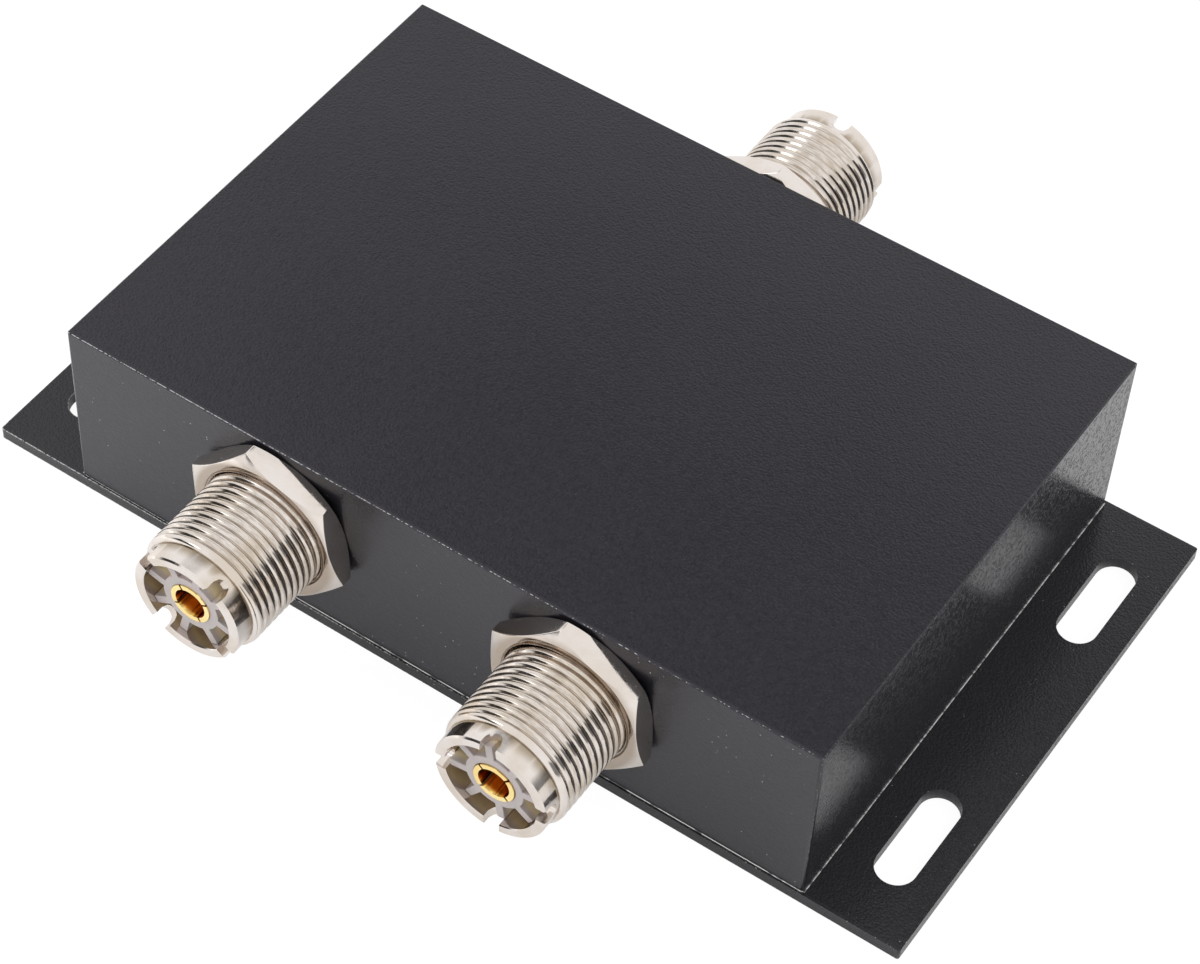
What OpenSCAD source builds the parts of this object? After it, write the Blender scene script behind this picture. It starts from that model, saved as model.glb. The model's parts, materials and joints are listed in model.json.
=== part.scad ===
// Two-way antenna splitter: a box on a flanged base plate, with three threaded coaxial sockets
// and a printed splitter circuit inside. Millimetres.
// The origin is the middle of the base plate's underside. X runs along the long side, the two
// output sockets point to -Y, the input socket points to +Y, and Z is up.

/* [Housing] */
// Length of the housing along X
housing_w = 100; // [94:1:140]
// Depth of the housing along Y
housing_d = 67.5; // [64:0.5:100]
// Height of the housing above the base plate
housing_h = 24.8; // [24.4:0.2:36]
// Thickness of the side walls
wall_t = 2.5; // [1.6:0.1:3.5]
// Thickness of the roof
roof_t = 2; // [1.5:0.1:2.4]
// Radius of the upright outer corners
corner_r = 0.4; // [0.2:0.1:2]
// Chamfer along the upper edges
edge_chamfer = 0.2; // [0.1:0.05:1]

/* [Base plate] */
// Width of each mounting flange, outside the housing
flange_w = 12.3; // [10:0.1:25]
// How far the plate stands out past the socket walls
plate_lip = 0.25; // [0:0.05:1]
// Thickness of the plate
plate_t = 1.6; // [1.4:0.1:3]
// Radius of the plate's corners
plate_corner_r = 0.3; // [0.2:0.1:4]
// Width of a mounting slot
slot_w = 4.9; // [3:0.1:6]
// Length of a mounting slot, end to end
slot_l = 14.3; // [8:0.1:24]
// Distance between the centres of a flange's two slots
slot_spacing = 40.4; // [28:0.2:44]
// Distance from a slot's centre line to the flange's outer edge
slot_inset = 5.9; // [4:0.1:6.5]

/* [Sockets] */
// Distance between the two output sockets
socket_spacing = 40.5; // [34:0.5:46]
// Height of the socket axes above the base plate
socket_h = 14.35; // [12.5:0.05:14.6]
// Distance from the wall to a socket's rim
socket_reach = 16.8; // [14:0.1:20]
// Major diameter of the socket thread
thread_d = 15.75; // [15:0.05:16.2]
// Step from the thread's crests down to the stretch under the nut
core_step = 0.35; // [0.25:0.05:0.6]
// Room between the nut and the free thread
thread_clear = 0.4; // [0.2:0.05:1]
// Length in front of the thread, with its lead-in chamfer
nose_l = 3.4; // [2.4:0.1:5]
// Step from the thread down to the plain nose
nose_step = 0.7; // [0.3:0.05:1]
// Thickness of the rim
rim_t = 1.3; // [0.8:0.05:1.6]
// Chamfer on the rim's outer edge
rim_chamfer = 0.2; // [0.1:0.05:0.4]
// Width of the four notches in the rim
notch_w = 2.05; // [1.2:0.05:2.6]
// Depth of the notches
notch_depth = 2; // [1.4:0.1:2.3]
// Width of the shoulder that bears on the wall from inside
shoulder_w = 1.5; // [1:0.1:2.5]
// Thickness of that shoulder
shoulder_t = 2; // [1.4:0.1:3]
// Turn of the rim notches on the left, right and input sockets
notch_turn = [53, 3, 9]; // [0:1:90]

/* [Nuts] */
// Width of the nuts across flats
nut_af = 18.9; // [18.6:0.1:21]
// Thickness of the nuts
nut_t = 3.3; // [2.4:0.1:5]
// Height that is left at the nuts' corners between the chamfers
nut_corner_h = 1.4; // [0.8:0.1:2]
// Width of the nuts' countersinks beyond the thread
nut_countersink = 0.9; // [0.3:0.05:1]
// Turn of the nuts on the left, right and input sockets
nut_turn = [43, 37, 36]; // [0:1:60]

/* [Insulators] */
// Depth of the insulator's face behind the rim
insulator_recess = 0.9; // [0.4:0.05:2]
// Thickness of the hub round the contact
hub_wall = 1.05; // [0.6:0.05:1.5]
// Number of spokes
spoke_count = 8; // [4:1:10]
// Width of a spoke
spoke_w = 1; // [0.6:0.05:1.6]
// Depth of the pockets between the spokes
pocket_depth = 5; // [2:0.1:7]
// Length of the hub behind the shoulder
hub_tail = 0.6; // [0.2:0.1:1]
// Turn of the spokes on the left, right and input sockets
spoke_turn = [31, 9.5, 20]; // [0:0.5:45]

/* [Contacts] */
// Outer diameter of a centre contact
contact_d = 5.25; // [4.8:0.05:5.6]
// Bore of a centre contact
contact_bore = 4; // [3.6:0.05:4.2]
// Depth of the bore
contact_bore_depth = 10; // [8:0.5:12]
// Length of the contact's tube
contact_l = 14; // [13:0.5:16]
// How far the contact stands out of the insulator
contact_proud = 0.15; // [0:0.05:0.5]
// Width of the slits
slit_w = 0.25; // [0.15:0.05:0.8]
// Length of the slits
slit_l = 7; // [4:0.5:7.5]
// Diameter of the neck behind the tube
neck_d = 3; // [2:0.1:4]
// Width of the solder tab
tab_w = 1.8; // [1.2:0.1:2.2]
// Thickness of the solder tab
tab_t = 0.6; // [0.4:0.05:1]
// Length of the tab over the circuit board
tab_over = 4; // [2.5:0.1:5]
// Turn of the slits on the left, right and input sockets
slit_turn = [30, 46, 35]; // [0:1:90]

/* [Circuit board] */
// Thickness of the board
board_t = 1.6; // [0.8:0.1:2]
// Thickness that stands for the copper foil
copper_t = 0.1; // [0.05:0.01:0.2]
// Room round the board
board_gap = 1.2; // [0.8:0.1:2]
// Width of the input and output lines
line_w = 3; // [2.4:0.1:3.4]
// Width of the two folded arms
arm_w = 1.6; // [1:0.1:2]
// Distance between the runs of a folded arm
arm_pitch = 5.5; // [4:0.1:6]
// Reach of the folded arms from the middle
arm_reach = 24; // [16:0.5:26]
// Distance of the inner folds from the middle
arm_inner = 6; // [4:0.5:8]
// Length of the isolation resistor
resistor_l = 6.3; // [5:0.1:7]
// Width of the isolation resistor
resistor_w = 3.2; // [2:0.1:4]
// Height of the isolation resistor
resistor_h = 0.6; // [0.4:0.05:1]
// Length of each resistor end that lies on its line
resistor_land = 1.2; // [0.6:0.1:1.6]
// Thickness of the solder round a tab or beside the resistor
solder_t = 0.5; // [0.3:0.05:0.8]

/* [Screws] */
// Thread diameter of the cover screws
cover_screw_d = 3; // [2.5:0.1:3.5]
// Head diameter of the cover screws
cover_head_d = 5.5; // [5:0.1:6]
// Length of the cover screws
cover_screw_l = 8; // [6:0.5:12]
// Distance from the housing's faces to the cover screws
cover_inset = 6; // [5.6:0.1:8]
// Thread diameter of the board screws
board_screw_d = 2.5; // [2:0.1:3]
// Head diameter of the board screws
board_head_d = 4.5; // [4:0.1:5.5]
// Head height of the board screws
board_head_h = 1.5; // [1:0.1:2]
// Length of the board screws
board_screw_l = 6; // [4:0.5:6.5]
// Distance from the board's edges to its screws
board_inset = 4.5; // [3.5:0.1:6]
// Material round a tapped hole
boss_wall = 2; // [1.2:0.1:2.5]

/* [Fits] */
// Gap round pressed-in pieces
fit_gap = 0.05; // [0.02:0.01:0.1]
// Gap round threads, which are drawn plain
thread_gap = 0.1; // [0.05:0.01:0.2]
// Gap round screws and sockets in plain holes
hole_gap = 0.15; // [0.1:0.01:0.3]

/* [Hidden] */
$fn = 64;

// Sockets by number
left = 0;
right = 1;
input = 2;

// Past a face that is cut, so that the cut is clean
over = 1;

// Plate and housing
plate_w = housing_w + 2*flange_w;
plate_d = housing_d + 2*plate_lip;
slot_x = plate_w/2 - slot_inset;
roof_z = plate_t + housing_h;
ceiling_z = roof_z - roof_t;
cover_post_r = cover_screw_d/2 + boss_wall;
cover_x = housing_w/2 - cover_inset;
cover_y = housing_d/2 - cover_inset;
cover_places = [for (x = [-1, 1], y = [-1, 0, 1]) [x*cover_x, y*cover_y]];
head_sink = 0.1;
cross_w = 0.7;
cross_l = 2.8;
cross_depth = 0.9;

// Sockets, measured along their own axis from the wall's outer face
axis_z = plate_t + socket_h;
thread_r = thread_d/2;
hole_r = thread_r + hole_gap;
stem_r = thread_r - core_step;
thread_start = nut_t + thread_clear;
shoulder_r = hole_r + shoulder_w;
shoulder_back = -wall_t - shoulder_t;
shoulder_flat = ceiling_z - axis_z - hole_gap;
nut_face_inset = 0.1;
lead_in = 1.2;
thread_end = socket_reach - nose_l;
nose_r = thread_r - nose_step;
nose_start = thread_end + lead_in*nose_step;
mouth_r = nose_r - rim_t;
contact_r = contact_d/2;
hub_r = contact_r + fit_gap + hub_wall;
lip_t = shoulder_t/2;
insulator_seat = shoulder_back + lip_t;
insulator_face = socket_reach - insulator_recess;
insulator_back = shoulder_back - hub_tail;
pocket_floor = insulator_face - pocket_depth;
contact_face = insulator_face + contact_proud;
contact_back = contact_face - contact_l;
board_edge = shoulder_back - board_gap;
tab_end = board_edge - tab_over;

// Circuit board, whose tracks lie on the solder tabs
track_z = axis_z + tab_t/2;
board_z = track_z + copper_t;
ground_z = board_z + board_t;
boss_z = ground_z + copper_t;
board_w = 2*(cover_x - cover_post_r - board_gap);
board_d = housing_d + 2*board_edge;
board_boss_r = board_screw_d/2 + boss_wall;
board_places = [for (x = [-1, 1], y = [-1, 1])
                [x*(board_w/2 - board_inset), y*(board_d/2 - board_inset)]];
tab_y = board_d/2 - tab_over;

// Splitter lines: the folded arms start at the input line and end at the resistor
arm_runs = 4;
runs_behind = 1.8;
arm_top = runs_behind*arm_pitch;
resistor_y = arm_top - arm_runs*arm_pitch;
line_start = resistor_l/2 - resistor_land;
track_edge = 0.5;

function socket_x(i) = [-socket_spacing/2, socket_spacing/2, 0][i];
function socket_side(i) = i == input ? 1 : -1;

// Puts a socket piece, drawn along +Z from the wall's outer face, in its place
module at_socket(i) {
    translate([socket_x(i), socket_side(i)*housing_d/2, axis_z])
        rotate([90, 0, i == input ? 180 : 0])
            children();
}

module rounded_rect(w, d, r) {
    square([w - 2*r, d], center = true);
    square([w, d - 2*r], center = true);
    for (x = [-1, 1], y = [-1, 1])
        translate([x*(w/2 - r), y*(d/2 - r)])
            circle(r);
}

// Cuts a 45 degree chamfer along an edge of the given length, at distance y and height z
module edge_cut(length, y, z) {
    face_w = edge_chamfer*sqrt(2);
    size = face_w + 2*over;
    translate([0, y, z])
        rotate([45, 0, 0])
            translate([0, (size - face_w)/2, 0])
                cube([length + 2*over, size, size], center = true);
}

module housing_block() {
    difference() {
        translate([0, 0, plate_t])
            linear_extrude(housing_h)
                rounded_rect(housing_w, housing_d, corner_r);
        for (turn = [0, 180])
            rotate([0, 0, turn])
                edge_cut(housing_w, housing_d/2, roof_z);
        for (turn = [90, 270])
            rotate([0, 0, turn])
                edge_cut(housing_d, housing_w/2, roof_z);
        translate([0, 0, plate_t - over + (housing_h - roof_t + over)/2])
            cube([housing_w - 2*wall_t, housing_d - 2*wall_t, housing_h - roof_t + over], center = true);
    }
}

// Outline of a screw post that grows out of the end wall, and out of a socket wall at the corners
module cover_post(place) {
    to_end = cover_inset - wall_t/2;
    toward = [sign(place[0]), sign(place[1])];
    translate(place) {
        circle(cover_post_r);
        translate([toward[0]*to_end/2, 0])
            square([to_end, 2*cover_post_r], center = true);
        if (toward[1] != 0) {
            translate([0, toward[1]*to_end/2])
                square([2*cover_post_r, to_end], center = true);
            translate([toward[0]*to_end/2, toward[1]*to_end/2])
                square([to_end, to_end], center = true);
        }
    }
}

module housing() color("#33343a") {
    tap_r = cover_screw_d/2 + thread_gap;
    board_tap_r = board_screw_d/2 + thread_gap;
    difference() {
        union() {
            housing_block();
            translate([0, 0, plate_t])
                linear_extrude(housing_h - roof_t/2)
                    for (place = cover_places)
                        cover_post(place);
            for (place = board_places)
                translate([place[0], place[1], boss_z])
                    cylinder(h = roof_z - roof_t/2 - boss_z, r = board_boss_r);
        }
        for (i = [left, right, input])
            at_socket(i)
                translate([0, 0, -wall_t - over])
                    cylinder(h = wall_t + 2*over, r = hole_r);
        for (place = cover_places)
            translate([place[0], place[1], plate_t - over])
                cylinder(h = cover_screw_l + over, r = tap_r);
        for (place = board_places)
            translate([place[0], place[1], boss_z - over])
                cylinder(h = board_screw_l - board_t + over, r = board_tap_r);
    }
}

module slot_outline() {
    square([slot_w, slot_l - slot_w], center = true);
    for (end = [-1, 1])
        translate([0, end*(slot_l - slot_w)/2])
            circle(slot_w/2);
}

module base_plate() color("#2a2b2e") {
    through_r = cover_screw_d/2 + hole_gap;
    seat_r = cover_head_d/2 + head_sink + fit_gap;
    difference() {
        linear_extrude(plate_t)
            rounded_rect(plate_w, plate_d, plate_corner_r);
        for (x = [-1, 1], y = [-1, 1])
            translate([x*slot_x, y*slot_spacing/2, -over])
                linear_extrude(plate_t + 2*over)
                    slot_outline();
        for (place = cover_places)
            translate([place[0], place[1], 0]) {
                translate([0, 0, -over])
                    cylinder(h = plate_t + 2*over, r = through_r);
                translate([0, 0, -over])
                    cylinder(h = seat_r + over - through_r, r1 = seat_r + over, r2 = through_r);
            }
    }
}

module cross_recess() {
    for (turn = [0, 90])
        rotate([0, 0, turn])
            cube([cross_l, cross_w, 2*cross_depth], center = true);
}

module cover_screws() color("#8f9196") {
    head_r = cover_head_d/2;
    screw_r = cover_screw_d/2;
    for (place = cover_places)
        translate([place[0], place[1], head_sink])
            difference() {
                union() {
                    cylinder(h = head_r - screw_r, r1 = head_r, r2 = screw_r);
                    cylinder(h = cover_screw_l - head_sink, r = screw_r);
                }
                cross_recess();
            }
}

// Socket body: shoulder inside the wall, stem through it, thread, chamfer and notched nose
module socket_shell(i) color("#c9c2b8") {
    at_socket(i)
        difference() {
            rotate_extrude()
                polygon([[hub_r + fit_gap, shoulder_back], [shoulder_r, shoulder_back],
                         [shoulder_r, -wall_t], [stem_r, -wall_t], [stem_r, thread_start],
                         [thread_r, thread_start], [thread_r, thread_end], [nose_r, nose_start],
                         [nose_r, socket_reach - rim_chamfer],
                         [nose_r - rim_chamfer, socket_reach], [mouth_r, socket_reach],
                         [mouth_r, insulator_seat], [hub_r + fit_gap, insulator_seat]]);
            translate([-shoulder_r - over, shoulder_flat, shoulder_back - over])
                cube([2*(shoulder_r + over), shoulder_r, shoulder_t + over]);
            for (turn = [0:90:270])
                rotate([0, 0, notch_turn[i] + turn])
                    rim_notch();
        }
}

// One notch, cut outwards through the rim, with a round bottom
module rim_notch() {
    bottom = socket_reach - notch_depth + notch_w/2;
    length = nose_r + over - hub_r;
    translate([hub_r, -notch_w/2, bottom])
        cube([length, notch_w, notch_depth]);
    translate([hub_r, 0, bottom])
        rotate([0, 90, 0])
            cylinder(h = length, r = notch_w/2);
}

// Thin hexagon nut, whose corners are cut back by two cones that meet outside them at mid-height
module socket_nut(i) color("#cfc8be") {
    bore_r = stem_r + thread_gap;
    sink_r = thread_r + nut_countersink;
    sink_h = sink_r - bore_r;
    hex_r = nut_af/sqrt(3);
    face_r = nut_af/2 - nut_face_inset;
    chamfer_h = (nut_t - nut_corner_h)/2;
    cone_r = face_r + (hex_r - face_r)*nut_t/2/chamfer_h;
    at_socket(i)
        difference() {
            intersection() {
                rotate([0, 0, nut_turn[i]])
                    cylinder(h = nut_t, r = hex_r, $fn = 6);
                rotate_extrude()
                    polygon([[0, 0], [face_r, 0], [cone_r, nut_t/2], [face_r, nut_t], [0, nut_t]]);
            }
            rotate_extrude()
                polygon([[0, -over], [sink_r + over, -over], [bore_r, sink_h], [bore_r, nut_t - sink_h],
                         [sink_r + over, nut_t + over], [0, nut_t + over]]);
        }
}

// Moulded insulator: a hub, a disc at the back and open spokes at the front
module socket_insulator(i) color("#b9b4b8") {
    outer_r = mouth_r - fit_gap;
    spoke_l = outer_r - hub_r/2;
    at_socket(i)
        difference() {
            union() {
                translate([0, 0, insulator_back])
                    cylinder(h = insulator_face - insulator_back, r = hub_r);
                translate([0, 0, insulator_seat])
                    cylinder(h = pocket_floor - insulator_seat, r = outer_r);
                intersection() {
                    translate([0, 0, insulator_seat])
                        cylinder(h = insulator_face - insulator_seat, r = outer_r);
                    for (k = [0:spoke_count - 1])
                        rotate([0, 0, spoke_turn[i] + k*360/spoke_count])
                            translate([hub_r/2, -spoke_w/2, insulator_seat])
                                cube([spoke_l + over, spoke_w, insulator_face - insulator_seat]);
                }
            }
            translate([0, 0, contact_back - fit_gap])
                cylinder(h = contact_l + over, r = contact_r + fit_gap);
            translate([0, 0, insulator_back - over])
                cylinder(h = contact_back - insulator_back + 2*over, r = neck_d/2 + fit_gap);
        }
}

// Centre contact: a slit tube, a neck and a flat solder tab
module socket_contact(i) color("#d9b04a") {
    at_socket(i)
        difference() {
            union() {
                translate([0, 0, contact_back])
                    cylinder(h = contact_l, r = contact_r);
                translate([0, 0, insulator_back])
                    cylinder(h = contact_back - insulator_back + over, r = neck_d/2);
                translate([-tab_w/2, -tab_t/2, tab_end])
                    cube([tab_w, tab_t, insulator_back - tab_end + over]);
            }
            translate([0, 0, contact_face - contact_bore_depth])
                cylinder(h = contact_bore_depth + over, r = contact_bore/2);
            for (turn = [0, 90])
                rotate([0, 0, slit_turn[i] + turn])
                    translate([-contact_d, -slit_w/2, contact_face - slit_l])
                        cube([2*contact_d, slit_w, slit_l + over]);
        }
}

module board_sheet(z, t, edge) {
    difference() {
        translate([0, 0, z + t/2])
            cube([board_w - 2*edge, board_d - 2*edge, t], center = true);
        for (place = board_places)
            translate([place[0], place[1], z - over])
                cylinder(h = t + 2*over, r = board_screw_d/2 + hole_gap);
    }
}

module circuit_board() color("#2f6b3a") {
    board_sheet(board_z, board_t, 0);
}

module ground_plane() color("#b87333") {
    board_sheet(ground_z, copper_t, board_gap/2);
}

// A line of the given width through the points, round at its bends
module line_run(points, w) {
    last = len(points) - 1;
    for (k = [0:last - 1]) {
        step = points[k + 1] - points[k];
        translate(points[k])
            rotate(atan2(step[1], step[0]))
                translate([0, -w/2])
                    square([norm(step), w]);
    }
    for (k = [1:last - 1])
        translate(points[k])
            circle(w/2);
}

// One folded arm, from the input line to the resistor, on the side +1 or -1
module folded_arm(side) {
    folds = [for (k = [0:arm_runs - 1], end = [0, 1])
             [side*((k + end)%2 == 0 ? arm_inner : arm_reach), arm_top - k*arm_pitch]];
    start = [[0, arm_top]];
    finish = [[side*arm_inner, resistor_y]];
    line_run(concat(start, [for (k = [1:len(folds) - 1]) folds[k]], finish), arm_w);
}

module signal_tracks() color("#c8803c") {
    far = board_d/2 - track_edge;
    translate([0, 0, track_z])
        linear_extrude(copper_t) {
            line_run([[0, far], [0, arm_top], [0, arm_top - arm_w/2]], line_w);
            for (side = [-1, 1]) {
                folded_arm(side);
                line_run([[side*line_start, resistor_y], [side*socket_spacing/2, resistor_y],
                          [side*socket_spacing/2, -far]], line_w);
            }
        }
}

module isolation_resistor() color("#25262a") {
    translate([0, resistor_y, track_z - resistor_h/2])
        cube([resistor_l, resistor_w, resistor_h], center = true);
}

// Solder round a contact tab, under its line
module tab_joint(i) {
    top = tab_t/2;
    bottom = -top - solder_t;
    tab_half = tab_w/2;
    wide = line_w/2;
    narrow = tab_half + solder_t/2;
    joint_l = tab_over - 2*solder_t;
    at_socket(i)
        difference() {
            translate([0, 0, tab_end + solder_t])
                linear_extrude(joint_l)
                    polygon([[-wide, top], [-narrow, bottom], [narrow, bottom], [wide, top]]);
            translate([-tab_half, -top, tab_end])
                cube([tab_w, tab_t + over, tab_over + over]);
        }
}

// Solder fillet at one end of the resistor
module resistor_joint(side) {
    w = min(resistor_w, line_w);
    translate([side*resistor_l/2, resistor_y + w/2, track_z])
        rotate([90, 0, 0])
            linear_extrude(w)
                polygon([[0, 0], [side*2*solder_t, 0], [0, -solder_t]]);
}

module solder_joints() color("#b4b6ba") {
    for (i = [left, right, input])
        tab_joint(i);
    for (side = [-1, 1])
        resistor_joint(side);
}

module board_screws() color("#a7a9ae") {
    for (place = board_places)
        translate([place[0], place[1], board_z])
            difference() {
                union() {
                    translate([0, 0, -board_head_h])
                        cylinder(h = board_head_h, r = board_head_d/2);
                    cylinder(h = board_screw_l, r = board_screw_d/2);
                }
                translate([0, 0, -board_head_h])
                    cross_recess();
            }
}

housing();
base_plate();
cover_screws();
socket_shell(left);  // left_shell
socket_nut(left);  // left_nut
socket_insulator(left);  // left_insulator
socket_contact(left);  // left_contact
socket_shell(right);  // right_shell
socket_nut(right);  // right_nut
socket_insulator(right);  // right_insulator
socket_contact(right);  // right_contact
socket_shell(input);  // input_shell
socket_nut(input);  // input_nut
socket_insulator(input);  // input_insulator
socket_contact(input);  // input_contact
circuit_board();
signal_tracks();
ground_plane();
isolation_resistor();
solder_joints();
board_screws();
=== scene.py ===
# Looks of a two-way antenna splitter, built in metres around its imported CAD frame.
import json
import math

import bpy
from mathutils import Matrix, Vector


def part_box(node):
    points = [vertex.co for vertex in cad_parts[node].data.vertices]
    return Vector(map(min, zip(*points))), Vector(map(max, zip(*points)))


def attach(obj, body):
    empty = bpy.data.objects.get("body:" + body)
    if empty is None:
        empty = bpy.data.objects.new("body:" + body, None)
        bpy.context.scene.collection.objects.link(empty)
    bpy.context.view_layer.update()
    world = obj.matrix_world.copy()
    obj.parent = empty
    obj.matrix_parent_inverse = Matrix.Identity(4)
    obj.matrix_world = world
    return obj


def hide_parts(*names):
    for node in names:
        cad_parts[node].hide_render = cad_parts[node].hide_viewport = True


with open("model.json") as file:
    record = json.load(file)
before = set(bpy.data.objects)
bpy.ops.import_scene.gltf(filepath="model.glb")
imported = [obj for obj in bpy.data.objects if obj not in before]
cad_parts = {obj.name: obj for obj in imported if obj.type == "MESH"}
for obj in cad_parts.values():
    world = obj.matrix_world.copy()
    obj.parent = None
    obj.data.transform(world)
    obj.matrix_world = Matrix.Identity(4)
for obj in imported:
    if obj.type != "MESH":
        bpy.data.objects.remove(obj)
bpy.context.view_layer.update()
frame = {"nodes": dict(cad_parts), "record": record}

MM = 0.001

# Photograph's camera, with its angles in degrees
CAMERA_AZIMUTH = 31.584
CAMERA_ELEVATION = 50.13
CAMERA_ROLL = 3.467
CAMERA_LENS = 103.33
CAMERA_NEAR = 0.01
CAMERA_PLACE_MM = (136.43, -221.12, 313.81)

# Sizes read from the frame, in millimetres
mounts = {mount["name"]: mount for mount in frame["record"]["mounts"]}


def box_mm(node):
    lo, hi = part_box(node)
    return lo/MM, hi/MM


housing_lo, housing_hi = box_mm("housing")
plate_lo, plate_hi = box_mm("base_plate")
shell_lo, shell_hi = box_mm("left_shell")
nut_lo, nut_hi = box_mm("left_nut")
insulator_lo, insulator_hi = box_mm("left_insulator")
WALL_Y = housing_hi.y
THREAD_R = mounts["left_output_thread"]["dims"]["r_mm"]
REACH = -shell_lo.y - WALL_Y
SHOULDER_BACK = -shell_hi.y - WALL_Y
SHOULDER_R = (shell_hi.x - shell_lo.x)/2
AXIS_Z = mounts["left_output_thread"]["pos_m"][2]/MM
SHOULDER_FLAT = shell_hi.z - AXIS_Z
NUT_T = -nut_lo.y - WALL_Y
INSULATOR_FACE = -insulator_lo.y - WALL_Y
INSULATOR_R = (insulator_hi.x - insulator_lo.x)/2

# Socket details that the frame doesn't hold, in millimetres
WALL_T = 2.5
LIP_T = 1.0
FIT_GAP = 0.05
STEM_R = THREAD_R - 0.35
MOUTH_R = INSULATOR_R + FIT_GAP
LIP_R = 3.775
NOSE_R = THREAD_R - 0.7
NOSE_L = 3.4
LEAD_IN = 1.2
RIM_CHAMFER = 0.2
NOTCH_W = 2.05
NOTCH_DEPTH = 2.0
THREAD_PITCH = 25.4/24
THREAD_DEPTH = 0.28
CREST_SHARE = 0.5
CREST_DROP = 0.05
ROOT_SHARE = 0.1
NUT_AF = 18.9
NUT_FACE_INSET = 0.1
NUT_CORNER_H = 1.4
NUT_COUNTERSINK = 0.4
NUT_BORE_R = STEM_R + 0.1
NUT_CORNER_ROUND = 0.25
NUT_EDGE_ROUND = 0.12
NUT_SINK_ROUND = 0.3

# Turns about each socket's axis, in degrees, from its right-hand side
SOCKETS = {
    "left": {"mount": "left_output_thread", "notch": 53, "nut": 43},
    "right": {"mount": "right_output_thread", "notch": 3, "nut": 37},
    "input": {"mount": "input_thread", "notch": 9, "nut": 36},
}

# Mesh fineness
NOTCH_STEPS = 8
TOOTH_STEPS = 28
THREAD_ROWS = 20
NUT_ROUND_STEPS = 3
NUT_SIDE_STEPS = 20
EDGE_STEPS = 4
ROUND_LIMIT = 1/2.2
SHARP_ANGLE = 40
SIXTH_TURN = math.pi/6

# Rounds on the edges of CAD nodes, in millimetres
WELD_GAP = 0.001
ROUND_SEGMENTS = 2
HOUSING_ROUND = 0.06
PLATE_ROUND = 0.1
INSULATOR_ROUND = 0.1
CONTACT_ROUND = 0.08

# Colours, as shares of red, green and blue
# Pale coat for worn edges, which also paints highlights on the edges and beside them
WORN_COAT_AND_HIGHLIGHT = (0.42, 0.42, 0.42)
BARE_METAL = (0.85, 0.85, 0.84)
DUST = (0.5, 0.5, 0.5)
NICKEL = (0.68, 0.63, 0.595)
SHELL_WARM = (0.59, 0.52, 0.45)
# Grime on the thread, also used as painted shade in its grooves
SHELL_GRIME_AND_SHADE = (0.34, 0.28, 0.21)
NUT_WARM = (0.62, 0.56, 0.505)
# Painted reflection of the thread on the nuts' flat faces
NUT_FACE_PAINTED_REFLECTION = (0.34, 0.265, 0.2)
GOLD = (0.92, 0.74, 0.34)
GOLD_WARM = (0.85, 0.63, 0.24)
# Painted shade inside the contacts, behind the insulator's face
GOLD_PAINTED_SHADE = (0.42, 0.165, 0.03)
PLASTIC_GREY = (0.35, 0.315, 0.31)
PLASTIC_PALE = (0.44, 0.395, 0.385)
# Painted glow deep in the insulator's pockets
PLASTIC_PAINTED_GLOW = (0.72, 0.6, 0.4)

# Black coats of the two pieces of the case, with lengths in millimetres
HOUSING_COAT = {
    "dark": (0.0049, 0.0044, 0.0059),
    "pale": (0.011, 0.0103, 0.0131),
    "top_dust": 0.05,
    "edge_width": 0.15,
    "wear_and_glint_bias": (0.06, 0.18),
    "grain_height": 0.023,
}
PLATE_COAT = {
    "dark": (0.0028, 0.0027, 0.0031),
    "pale": (0.0092, 0.009, 0.0098),
    "top_dust": 0.4,
    "edge_width": 0.1,
    "wear_and_glint_bias": (-0.01, 0.19),
    "grain_height": 0.026,
}
COAT_IOR = 1.5
COAT_SHEEN = (0.95, 0.91, 1.0, 1.0)
COAT_ROUGHNESS = 0.19
GRAIN_SIZE = 0.28
GRAIN_STRENGTH = 1.0
PEEL_SIZE = 1.1
PEEL_HEIGHT = 0.05
PEEL_STRENGTH = 0.05
CLOUD_SIZE = 22
CLOUD_SHARE = 0.3
DUST_PATCH_SIZE = 9
SPECK_CELL = 0.8
SPECK_R = 0.09
SPECK_SHARE = 0.4
FLECK_SIZE = 0.27
SEAM_DASH_SIZE = 1.1
FOOT_DASH_SIZE = 2.4
FAINT_DASH = 0.15
CREASE_SIZE = 0.8
CREASE_HEIGHT = 0.02
CREASE_STRENGTH = 0.9
CREASE_ROUGHNESS = 0.32
LONG_WALL_ROUGHNESS = 0.13

# Plated metal, with lengths in millimetres
NICKEL_ROUGHNESS = 0.11
GOLD_ROUGHNESS = 0.14
TINT_SIZE = 5
STREAK_SIZE = 0.3
STREAK_STRETCH = 0.2
RING_SIZE = 0.12
RING_STRETCH = 0.02
RING_HEIGHT = 0.01
RING_STRENGTH = 0.06
NUT_RING_STRENGTH = 0.05
MARK_SIZE = 0.6

# Plastic and plain finishes, with lengths in millimetres
PLASTIC_IOR = 1.5
PLASTIC_GLOW = 0.2
PLASTIC_GLOW_REACH = 0.8
PLASTIC_CLOUD_SIZE = 1.6
PLASTIC_GRAIN_SIZE = 0.25
FINISH_STRENGTH = 0.15
FINISH_HEIGHT = 0.02

# Sockets of a colour mix node
MIX_SHARE = 0
MIX_FIRST = 6
MIX_SECOND = 7
MIX_RESULT = 2

# Surroundings and floor, with lengths in metres
AROUND_LEVEL = 1.2
HIGH_LEVEL = 0.23
LOW_LEVEL = 0.05
FLOOR_HALF = 2.0
FLOOR_GAP = 0.2*MM
FLOOR_SHADE = 0.8
MIRRORED_SHADE = 0.8
MIRRORED_GLOW = 0.2
CAMERA_SHADE = 0.12
CAMERA_GLOW = 0.93


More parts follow.
